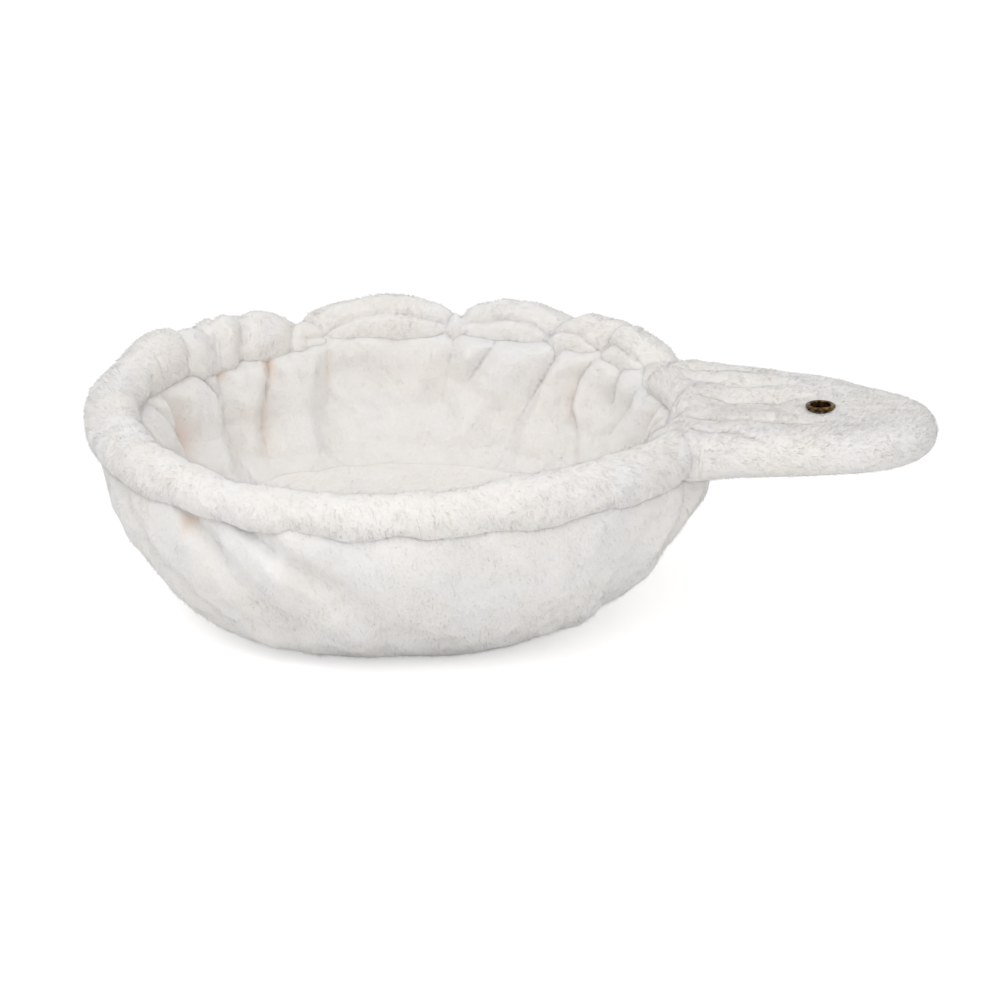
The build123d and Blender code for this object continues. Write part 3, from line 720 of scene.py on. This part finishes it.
tongue = {
    "columns": 118, "tipRows": 44, "bodyRows": 66, "overRows": 52, "rounding": 8,
    "top": 19.4, "bottom": -0.4, "round": 11.0, "roundPower": 2.3,
    "tipRadius": 43.2, "tipGap": 1, "tipTurns": (88.5, 14), "rootX": -58.6, "rootHalf": 61.2,
    "joinRadius": 153,  # the straight part ends here, as an arc round the ring's centre, and bends into it from there
    "bowGap": 8, "spread": 6, "spreadRate": 3, "overSlant": 0.6,
    # the top's way over the ring: distance from the ring's centre, height above the ring's plane
    "overTop": ((151, 9.1), (145.5, 10.4), (138, 11.6), (131, 10.4), (127, 6.8), (126.6, 3), (131, -4)),
    "overUnder": ((151, -10.7), (146, -10.4), (142, -9.6), (138, -8.8), (135, -8.2), (133.5, -7.4), (132.5, -7)),
    # each gather: its line of x and y, its strength, and where it starts and ends
    "gathers": (
        (((-58, 33), (-40, 24), (-23, 26)), 1.0, -60, -10),
        (((-52, 7), (-19, 10), (-12, 16)), 1.0, -60, 0),
        (((-50, -24.5), (-29.5, -21.6), (-6, -19)), 1.0, -60, 4),
        (((-50, -43), (-32, -42), (-19, -49)), 0.7, -56, -10),
        (((-58, 49), (-38, 41), (-26, 38)), 0.7, -60, -16),
        (((-80, -46), (-68, -26), (-56, -10)), 0.6, -84, -50),
        (((-80, -14), (-70, 4), (-58, 24), (-50, 32)), 0.6, -84, -44),
    ),
    "gatherDepth": 3.5, "gatherStart": 10, "gatherEnd": (-22, 4), "crease": (0.6, 2), "hollow": (0.5, 5.5),
    "ridge": 2.2, "ridgeEnds": (-50, 0), "flare": 5.0, "flareReach": 7.0, "overRound": 10.0,
    "belly": (1.8, 4, 42), "waist": (3.2, -46, 26),  # the front edge swells and draws in: how far, where and its reach
    "puff": 5.0, "puffAlong": (-58, -38, -8, 36), "puffAcross": (8, 34),  # the back half is stuffed fuller
    "calmEdge": 8, "puffEdge": 5, "uneven": ((0.35, 34, 61), (0.15, 11, 62)),
    "bore": 6.3, "boreLift": 1.1, "boreTilt": 1.3, "boreReach": 12,  # the pile stands up behind it and sinks before it
    "pileBore": (6.5, 6.9), "pileWasher": (10, 10.5), "underShare": 0.8, "underRows": 128,
}
tongueCentre = tipX - tongue["tipGap"] - tongue["tipRadius"]
joinX = ringX + tongue["joinRadius"]


def tongueSide():
    # where the straight side touches the round tip, and its slope
    dx, dy = tongueCentre - tongue["rootX"], -tongue["rootHalf"]
    reach = math.hypot(dx, dy)
    tangent = math.atan2(-dy, -dx) - math.acos(tongue["tipRadius"] / reach)
    touchX = tongueCentre + tongue["tipRadius"] * math.cos(tangent)
    touchY = tongue["tipRadius"] * math.sin(tangent)
    slope = (touchY - tongue["rootHalf"]) / (touchX - tongue["rootX"])
    return touchX, slope


touchX, sideSlope = tongueSide()


def halfWidth(x):
    straight = tongue["rootHalf"] + sideSlope * (x - tongue["rootX"])
    straight = straight + tongue["flare"] * np.exp(-(x - joinX) / tongue["flareReach"])
    rounded = np.sqrt(np.clip(tongue["tipRadius"] ** 2 - (x - tongueCentre) ** 2, 0, None))
    return np.where(x > touchX, rounded, straight)


def tongueRow(x, y, z):
    # one row of points across the tongue, at one height
    return np.stack([np.broadcast_to(x, y.shape), y, np.full(len(y), z)], axis=1)


def straightRows(across):
    # the tip and the straight part: top, underside, place before the bow, and distance from the edge
    tipTurn = np.linspace(*np.radians(tongue["tipTurns"]), tongue["tipRows"])
    tip = tongueCentre + tongue["tipRadius"] * np.sin(tipTurn)
    for x in np.concatenate([tip, np.linspace(tip[-1] - 1, joinX, tongue["bodyRows"])]):
        width = float(halfWidth(x))
        y = across * width
        (belly, bellyX, bellyReach), (waist, waistX, waistReach) = tongue["belly"], tongue["waist"]
        inset = (belly * bump(x, bellyX, bellyReach) - waist * bump(x, waistX, waistReach)) * np.clip(-across, 0, 1)
        radius = x - ringX
        bow = 1 - smoothRamp(x, joinX, tongueCentre - tongue["bowGap"])
        bow = bow * (radius - np.sqrt(np.maximum(radius ** 2 - y ** 2, 1)))
        roundEdge = tongue["tipRadius"] - np.hypot(x - tongueCentre, y)
        straightEdge = (width - np.abs(y)) * math.cos(math.atan(sideSlope))
        yield (tongueRow(x - bow, y - inset, tongue["top"]), tongueRow(x - bow, y - inset, tongue["bottom"]),
               tongueRow(x, y, 0), np.where(x > touchX, roundEdge, straightEdge))


def overRows(across):
    # the part that runs on over the ring, in the same four
    paths = np.hstack([tongue["overTop"], tongue["overUnder"]]).astype(float)
    steps = np.linspace(0, len(paths) - 1, tongue["overRows"])
    lines = [np.interp(steps, range(len(paths)), paths[:, side]) for side in range(4)]
    for line in lines:
        soften(line, tongue["rounding"])
    rootTurn = math.asin(float(halfWidth(joinX)) / tongue["joinRadius"])
    spread = math.radians(tongue["spread"])
    for radius, z, lowRadius, lowZ, share in zip(*lines, steps / steps[-1]):
        turn = across * (rootTurn + spread * (1 - math.exp(-tongue["spreadRate"] * share)))
        turn = turn + np.clip(-across, 0, 1) * tongue["waist"][0] / radius * (1 - share) ** 4
        along = joinX - 1 - (paths[0, 0] - radius) - (paths[0, 1] - z) * tongue["overSlant"]
        yield (ringPoints(ringX, radius, turn, ringZ + z), ringPoints(ringX, lowRadius, turn, ringZ + lowZ),
               tongueRow(along, radius * np.sin(turn), 0), (1 - np.abs(across)) * rootTurn * radius)


def tonguePoints():
    across = np.sin(np.linspace(-math.pi / 2, math.pi / 2, tongue["columns"]))
    rows = [*straightRows(across), *overRows(across)]
    top, bottom, spot, edge = [np.array(part) for part in zip(*rows)]
    over = np.linspace(0, 1, tongue["overRows"])
    over = np.append(np.zeros(len(rows) - len(over)), smoothRamp(over, 0, 0.5))[:, None]
    full = np.clip(edge / (tongue["round"] + tongue["overRound"] * over), 0, 1)
    fullness = (1 - (1 - full) ** tongue["roundPower"]) ** (1 / tongue["roundPower"])
    middle = (top + bottom) / 2
    top = middle + (top - middle) * fullness[..., None]
    bottom = middle + (bottom - middle) * fullness[..., None]
    return top, bottom, spot, edge


def gatherDip(spot):
    # how deep the gathers press the top in, and they fade before the hole
    dip = np.zeros(spot.shape[:2])
    x, y = spot[..., 0], spot[..., 1]
    for line, strength, start, end in tongue["gathers"]:
        there = np.interp(x, [p[0] for p in line], [p[1] for p in line])
        fade, gone = [end + step for step in tongue["gatherEnd"]]
        reach = plateau(x, start, start + tongue["gatherStart"], fade, gone)
        shape = sum(deep * np.exp(-((y - there) / wide) ** 2) for deep, wide in (tongue["crease"], tongue["hollow"]))
        dip = np.maximum(dip, strength * reach * shape)
    return dip


print("tongue")
tongueTop, tongueUnder, tongueSpot, tongueEdge = tonguePoints()
topOut = facing(gridNormals(tongueTop, False), (0, 0, 1))
spotX, spotY = tongueSpot[..., 0], tongueSpot[..., 1]
hole = np.hypot(tongueTop[..., 0], tongueTop[..., 1])
ridge = tongue["ridge"] * (1 - smoothRamp(spotX, *tongue["ridgeEnds"])) - tongue["gatherDepth"] * gatherDip(tongueSpot)
lift = (unevenness(tongueTop, tongue["uneven"]) + ridge) * smoothRamp(tongueEdge, 0, tongue["calmEdge"])
tilt = tongue["boreLift"] + tongue["boreTilt"] * tongueTop[..., 1] / np.maximum(hole, 1)
lift = lift + tilt * np.exp(-(hole / tongue["boreReach"]) ** 2)
tongueTop = tongueTop + topOut * lift[..., None]
puff = plateau(spotX, *tongue["puffAlong"])
puff = puff * smoothRamp(spotY, *tongue["puffAcross"]) * smoothRamp(tongueEdge, 0, tongue["puffEdge"])
tongueTop[..., 2] += tongue["puff"] * puff  # straight up, so that it doesn't fold over at the root
tongueLoop = np.concatenate([tongueTop, tongueUnder[:, -2:0:-1]], axis=1)
tongueCover = tubeSkin("tongueCover", tongueLoop, marks(tongueLoop.shape[:2]))

# the bore for the eyelet
bpy.ops.object.select_all(action="DESELECT")
bpy.ops.mesh.primitive_cylinder_add(vertices=64, radius=tongue["bore"] * mm, depth=60 * mm,
                                    location=(0, 0, ringZ * mm))
cutter = bpy.context.active_object
cut = tongueCover.modifiers.new("bore", "BOOLEAN")
cut.operation = "DIFFERENCE"
cut.object = cutter
bpy.ops.object.select_all(action="DESELECT")
bpy.context.view_layer.objects.active = tongueCover
tongueCover.select_set(True)
bpy.ops.object.modifier_apply(modifier=cut.name)
bpy.data.objects.remove(cutter)
finishPlush(tongueCover, "tongue_cover_top", "tongue_cover_bottom")

# no fibres in the bore or under the washer, and none where the underside lies inside the bowl
loopOut = facing(gridNormals(tongueLoop, True), tongueLoop - tongueLoop.mean(axis=1, keepdims=True))
hole = np.hypot(tongueLoop[..., 0], tongueLoop[..., 1])
row, column = np.indices(hole.shape)
under = smoothRamp(hole, *tongue["pileWasher"]) * tongue["underShare"] * (row < tongue["underRows"])
clear = np.where(column < tongue["columns"], smoothRamp(hole, *tongue["pileBore"]), under)
loopNap = unit(np.gradient(tongueLoop, axis=0)) * -1
settings = {**fibre, "count": 40000, "seed": 65, "splay": 0.15, "scatter": 10}
finishPlush(pile("tonguePile", tongueLoop, loopOut, loopNap, clear + 1e-9, settings))


# Metal, board and padding

def metalMaterial(name, bright, dark, roughness, wear):
    material, tree, shader, place = startMaterial(name)
    shader.inputs["Metallic"].default_value = 1.0
    cloud = addNode(tree, "ShaderNodeTexNoise", {"Scale": wear, "Detail": 6.0}, {"Vector": place}).outputs["Fac"]
    ramp = addNode(tree, "ShaderNodeValToRGB", links={"Fac": cloud})
    for element, (colour, height) in zip(ramp.color_ramp.elements, ((dark, 0.42), (bright, 0.66))):
        element.color = hexColour(colour)
        element.position = height
    tree.links.new(ramp.outputs["Color"], shader.inputs["Base Color"])
    rough = addNode(tree, "ShaderNodeMapRange", {3: roughness - 0.08, 4: roughness + 0.15}, {0: cloud}).outputs[0]
    tree.links.new(rough, shader.inputs["Roughness"])
    scratches = addNode(tree, "ShaderNodeTexNoise", {"Scale": 2500.0, "Detail": 2.0}, {"Vector": place})
    bump = addNode(tree, "ShaderNodeBump", {"Strength": 0.25, "Distance": 0.0001}, {"Height": scratches.outputs["Fac"]})
    tree.links.new(bump.outputs["Normal"], shader.inputs["Normal"])
    return material


# antique brass: stamped, darkened all over and rubbed bright on its lip
brass = metalMaterial("antiqueBrass", "8A6A3E", "33261A", 0.34, 420.0)
# zinc plating: bright grey with a faint crystalline cloud
zinc = metalMaterial("zincPlatedSteel", "B9BCC0", "8E9296", 0.32, 90.0)


def patternMaterial(name, kind, inputs, output, stops, roughness, strength, depth, stretch=(1, 1, 1), **settings):
    # one pattern gives the colour, between two stops, and the relief
    material, tree, shader, place = startMaterial(name)
    place = addNode(tree, "ShaderNodeMapping", {"Scale": stretch}, {"Vector": place}).outputs[0]
    pattern = addNode(tree, kind, inputs, {"Vector": place}, **settings).outputs[output]
    ramp = addNode(tree, "ShaderNodeValToRGB", links={"Fac": pattern})
    for element, (colour, height) in zip(ramp.color_ramp.elements, stops):
        element.color = hexColour(colour)
        element.position = height
    tree.links.new(ramp.outputs["Color"], shader.inputs["Base Color"])
    shader.inputs["Roughness"].default_value = roughness
    bump = addNode(tree, "ShaderNodeBump", {"Strength": strength, "Distance": depth}, {"Height": pattern})
    tree.links.new(bump.outputs["Normal"], shader.inputs["Normal"])
    return material


print("inner pieces")
# polyurethane foam: cream open cells about 1 mm wide, darker in their hollows by painted shade
foam = patternMaterial("polyurethaneFoam", "ShaderNodeTexVoronoi", {"Scale": 900.0}, "Distance",
                       (("CDBF98", 0), ("F0E7CC", 0.5)), 0.95, 0.6, 0.0004)
# polyester wadding: white matted fibre in clumps of 4 to 5 mm, greyer where the relief is low by painted shade
wadding = patternMaterial("polyesterWadding", "ShaderNodeTexVoronoi", {"Scale": 220.0}, "Distance",
                          (("DADAD8", 0), ("F7F7F6", 0.5)), 0.95, 0.6, 0.0015)
# birch plywood: pale face veneer with fine lengthwise grain, about 2 mm across
plywood = patternMaterial("birchPlywood", "ShaderNodeTexNoise", {"Scale": 6.0, "Detail": 8.0, "Distortion": 0.6},
                          "Fac", (("B98F5E", 0.35), ("E1C49A", 0.7)), 0.62, 0.3, 0.0002, (6.0, 90.0, 90.0))
# knitted elastic: fine ribs across its width, 1.2 mm apart, with painted shade in the grooves between them
elastic = patternMaterial("knittedElastic", "ShaderNodeTexWave", {"Scale": 130.0, "Distortion": 0.4}, "Fac",
                          (("CFCFCC", 0), ("F3F3F0", 1)), 0.8, 0.6, 0.0003, bands_direction="Z")
finishes = {
    "bolt_eyelet": brass, "eyelet_washer": brass, "hoop_frame": zinc, "clamp_plates": zinc, "clamp_screws": zinc,
    "tongue_board": plywood, "tongue_foam_top": foam, "tongue_foam_bottom": foam, "floor_pad": foam,
    "rim_wadding": wadding, "bowl_wadding": wadding, "elastic_band": elastic,
}
for node, material in finishes.items():
    dress(nodes[node], material)
for layer, node in ((rimWadding, "rim_wadding"), (bowlWadding, "bowl_wadding")):
    dress(layer, wadding)
    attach(layer, "root")
    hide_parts(node)


# Studio: a pale floor that fades into white, a broad soft light above and a fill from the front

studio = {
    "floorColour": "F4F4F4", "floorGlow": 0.5, "worldStrength": 0.62,
    # each lamp: its place, what it looks at, its size and power
    "keyLight": ((-0.6, -0.95, 1.4), (-0.17, 0, 0), 1.3, 9.5),
    "fillLight": ((0.35, -1.5, 0.75), (-0.15, 0, -0.02), 1.2, 4.5),
}


def seenStraight(tree):
    # 1 for what the camera sees, also by reflection or through glass, and 0 for what lights the object
    rays = addNode(tree, "ShaderNodeLightPath")
    seen = rays.outputs["Is Camera Ray"]
    for kind in ("Is Glossy Ray", "Is Transmission Ray"):
        seen = addNode(tree, "ShaderNodeMath", links={0: seen, 1: rays.outputs[kind]}, operation="MAXIMUM").outputs[0]
    return seen


def buildStudio():
    bpy.ops.object.select_all(action="DESELECT")
    bpy.ops.mesh.primitive_plane_add(size=8, location=(ringX * mm, 0, baseZ * mm - 0.0002))
    ground = bpy.context.active_object
    ground.name = "studioFloor"
    material, tree, shader, place = startMaterial("studioPaper")
    shader.inputs["Base Color"].default_value = hexColour(studio["floorColour"])
    shader.inputs["Roughness"].default_value = 0.9
    shader.inputs["Specular IOR Level"].default_value = 0.0
    glow = addNode(tree, "ShaderNodeMath", {1: studio["floorGlow"]}, {0: seenStraight(tree)}, operation="MULTIPLY")
    shader.inputs["Emission Color"].default_value = (1, 1, 1, 1)
    tree.links.new(glow.outputs[0], shader.inputs["Emission Strength"])
    ground.data.materials.append(material)
    world = bpy.data.worlds.new("studioWorld")
    world.use_nodes = True
    bpy.context.scene.world = world
    tree = world.node_tree
    background = tree.nodes["Background"]
    level = addNode(tree, "ShaderNodeMapRange", {3: studio["worldStrength"], 4: 1.0}, {0: seenStraight(tree)})
    tree.links.new(level.outputs[0], background.inputs["Strength"])
    background.inputs["Color"].default_value = (1, 1, 1, 1)


def addLamp(name):
    place, target, size, power = studio[name]
    data = bpy.data.lights.new(name, "AREA")
    data.shape = "DISK"
    data.size = size
    data.energy = power
    lamp = bpy.data.objects.new(name, data)
    lamp.location = Vector(place)
    lamp.rotation_euler = (Vector(target) - Vector(place)).to_track_quat("-Z", "Y").to_euler()
    bpy.context.scene.collection.objects.link(lamp)


buildStudio()
addLamp("keyLight")
addLamp("fillLight")


# Camera, at the photograph's angle

view = {
    "elevation": 18.57, "turn": 3.6, "distance": 1800.0, "aim": (-145, 0, -25), "right": -5.36, "up": -3.7,
    "lens": 136.6,
}


def buildCamera():
    tilt, swing = math.radians(view["elevation"]), math.radians(view["turn"])
    back = Vector((math.cos(tilt) * math.sin(swing), -math.cos(tilt) * math.cos(swing), math.sin(tilt)))
    right = Vector((math.cos(swing), math.sin(swing), 0))
    up = back.cross(right)
    aim = Vector(view["aim"]) + right * view["right"] + up * view["up"]
    data = bpy.data.cameras.new("camera")
    data.sensor_width = 36
    data.lens = view["lens"]
    data.clip_end = 50
    camera = bpy.data.objects.new("camera", data)
    camera.location = (aim + back * view["distance"]) * mm
    camera.rotation_euler = (-back).to_track_quat("-Z", "Y").to_euler()
    bpy.context.scene.collection.objects.link(camera)
    bpy.context.scene.camera = camera


buildCamera()
bpy.context.scene.view_settings.view_transform = "Standard"
print("studio and camera")
